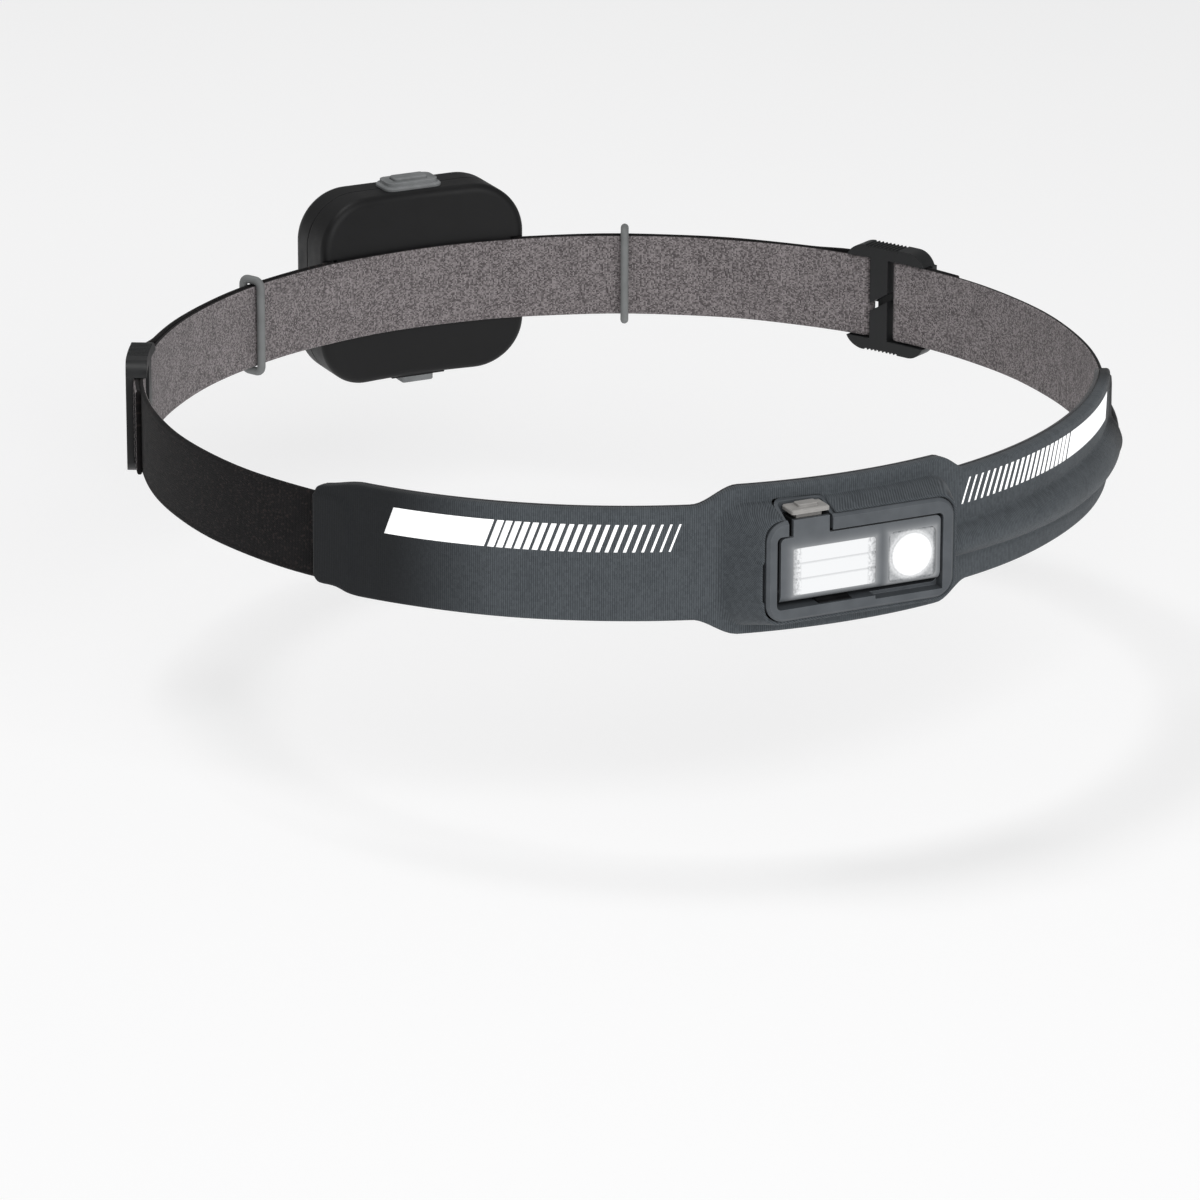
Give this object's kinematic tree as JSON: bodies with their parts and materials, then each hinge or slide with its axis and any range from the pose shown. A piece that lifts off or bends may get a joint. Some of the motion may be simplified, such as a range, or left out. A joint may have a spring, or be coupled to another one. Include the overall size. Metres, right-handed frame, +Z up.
{
  "type": "headlamp",
  "caption": "Slim running headlamp: tilting lamp in a moulded fabric front panel, elastic strap with adjustment sliders, and a rechargeable battery pack at the back of the head.",
  "frame": {"origin": "centre of the headband loop at the strap's mid height", "axes": "+Z up, -Y the way the lamp shines, +Y towards the battery pack, +X the wearer's left"},
  "size_m": [0.226, 0.2462, 0.0512],
  "materials": {
    "panel_fabric": "matte, finely ribbed moulded fabric",
    "lining_fabric": "soft brushed knit",
    "elastic": "woven elastic, near-black outside and heathered grey inside",
    "reflective": "retroreflective print",
    "lamp_plastic": "fine-textured grey moulding",
    "button_rubber": "matte warm grey silicone",
    "keeper_rubber": "matte mid-grey silicone",
    "black_plastic": "satin black moulding",
    "seal_rubber": "matte black",
    "cable_jacket": "matte black jacket",
    "clear_lens": "clear, lit from behind",
    "led": "phosphor-coated chips",
    "red_lens": "translucent red",
    "red_led": "red chips",
    "circuit_board": "solder-masked laminate",
    "switch_body": "small tact switch",
    "steel": "stainless, plain",
    "cell_wrap": "pouch cell foil"
  },
  "bodies": {
    "headband": {"front_panel": "panel_fabric", "forehead_lining": "lining_fabric", "reflective_left": "reflective", "reflective_right": "reflective", "lamp_frame": "lamp_plastic", "frame_backplate": "lamp_plastic", "backplate_screws": "steel", "detent_spring": "steel", "cable_grommet": "seal_rubber", "power_cable": "cable_jacket", "strap_front_left": "elastic", "strap_front_right": "elastic", "rear_strap": "elastic", "slider_left": "black_plastic", "slider_right": "black_plastic", "pack_inner_shell": "black_plastic", "pack_outer_shell": "black_plastic", "pack_gasket": "seal_rubber", "pack_screws": "steel", "battery_cell": "cell_wrap", "pack_board": "circuit_board", "red_leds": "red_led", "red_lens": "red_lens", "usb_board": "circuit_board", "usb_port": "steel", "pack_button_frame": "button_rubber", "pack_switch": "switch_body", "cable_strain_relief": "seal_rubber"},
    "lamp_module": {"lamp_housing": "lamp_plastic", "lamp_face": "lamp_plastic", "lens_gasket": "seal_rubber", "flood_lens": "clear_lens", "spot_lens": "clear_lens", "led_board": "circuit_board", "flood_leds": "led", "spot_led": "led", "lamp_switch": "switch_body", "lamp_hinge_pins": "steel"},
    "lamp_button": {"lamp_button": "button_rubber"},
    "pack_button": {"pack_button": "button_rubber"},
    "usb_cover": {"usb_cover": "button_rubber"},
    "keeper_left": {"keeper_left": "keeper_rubber"},
    "keeper_right": {"keeper_right": "keeper_rubber"}
  },
  "joints": [
    {"name": "lamp_tilt", "type": "hinge", "parent": "headband", "child": "lamp_module", "pos_m": [0, -0.1156, -0.0046], "axis": [1, 0, 0], "range_deg": [0, 40]},
    {"name": "lamp_button_press", "type": "slide", "parent": "lamp_module", "child": "lamp_button", "axis": [0, 0, -1], "range_m": [0, 0.0006]},
    {"name": "pack_button_press", "type": "slide", "parent": "headband", "child": "pack_button", "axis": [0, 0, -1], "range_m": [0, 0.0009]},
    {"name": "usb_cover_open", "type": "hinge", "parent": "headband", "child": "usb_cover", "pos_m": [0, 0.1188, -0.0235], "axis": [1, 0, 0], "range_deg": [0, 95]},
    {"name": "keeper_left_slide", "type": "hinge", "parent": "headband", "child": "keeper_left", "pos_m": [0, 0, 0], "axis": [0, 0, 1], "range_deg": [-9, 22]},
    {"name": "keeper_right_slide", "type": "hinge", "parent": "headband", "child": "keeper_right", "pos_m": [0, 0, 0], "axis": [0, 0, 1], "range_deg": [-22, 9]}
  ]
}
